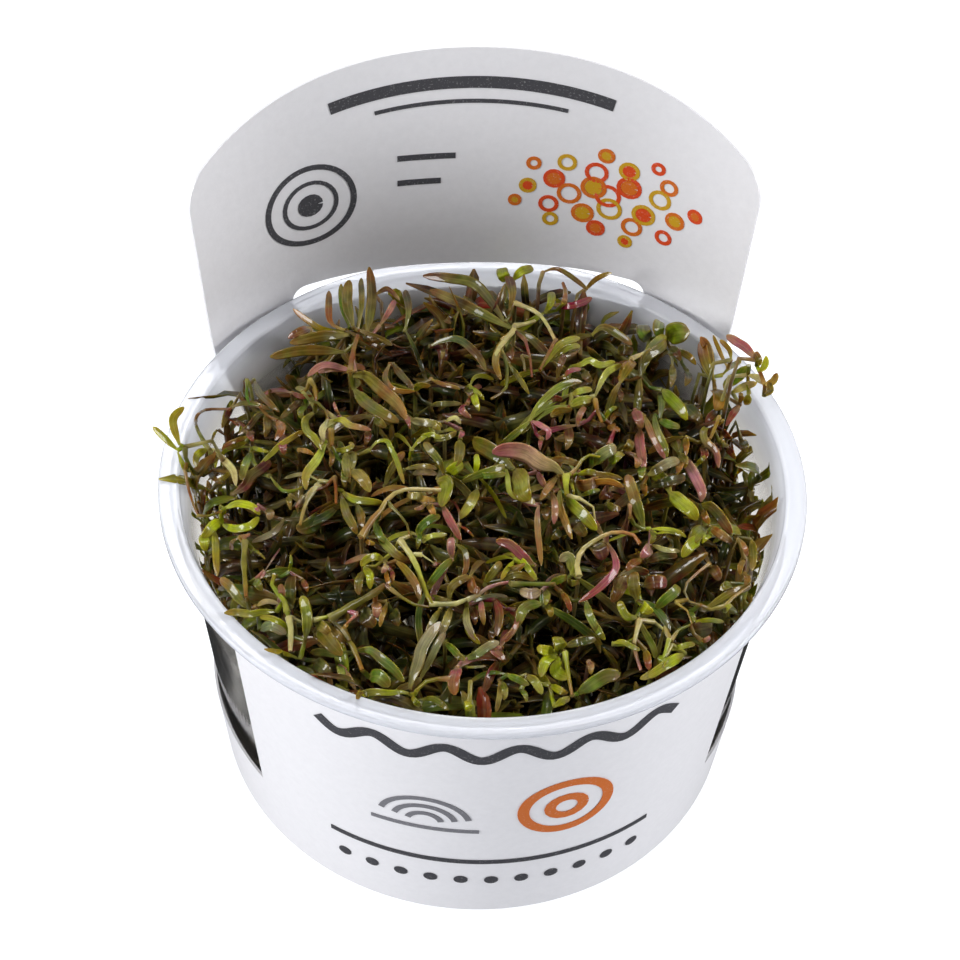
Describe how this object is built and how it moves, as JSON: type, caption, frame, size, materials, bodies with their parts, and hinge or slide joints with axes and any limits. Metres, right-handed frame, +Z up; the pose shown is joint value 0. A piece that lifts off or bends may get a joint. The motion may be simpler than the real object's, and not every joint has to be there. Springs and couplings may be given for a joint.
{
  "type": "potted aquarium plant",
  "caption": "Mat of rotala shoots growing over the rim of a clear tapered cup with a flanged rim, in a white paper wrap with side windows and a tall arched header.",
  "frame": {"origin": "centre of the cup's flat underside", "axes": "+Z up along the cup's axis, +Y towards the header of the wrap, -Y towards its front panel"},
  "size_m": [0.0846, 0.085, 0.0847],
  "materials": {
    "clear_plastic": "thin clear plastic, glossy, wet inside the rim",
    "white_paper": "smooth white coated paper",
    "nutrient_gel": "clear pale jelly",
    "olive_shoots": "wet olive and brown leaves",
    "green_shoots": "wet green leaves",
    "lime_shoots": "wet yellow-green young leaves",
    "red_shoots": "wet pink, red and orange-brown leaves"
  },
  "bodies": {
    "root": {"cup": "clear_plastic", "label": "white_paper", "culture_gel": "nutrient_gel", "clump_centre": "olive_shoots", "clump_inner_1": "olive_shoots", "clump_inner_2": "green_shoots", "clump_inner_3": "red_shoots", "clump_inner_4": "olive_shoots", "clump_inner_5": "green_shoots", "clump_inner_6": "red_shoots", "clump_outer_1": "olive_shoots", "clump_outer_2": "green_shoots", "clump_outer_3": "red_shoots", "clump_outer_4": "olive_shoots", "clump_outer_5": "green_shoots", "clump_outer_6": "red_shoots", "clump_outer_7": "olive_shoots", "clump_outer_8": "green_shoots", "clump_outer_9": "red_shoots", "clump_outer_10": "olive_shoots", "clump_outer_11": "green_shoots", "clump_outer_12": "red_shoots", "sprig_left_overhang": "lime_shoots", "sprig_left_hook": "green_shoots", "sprig_back_fan": "green_shoots", "sprig_back_long": "green_shoots", "sprig_back_round": "lime_shoots", "sprig_back_red": "red_shoots", "sprig_right_round": "lime_shoots", "sprig_right_overhang": "red_shoots"}
  },
  "joints": []
}
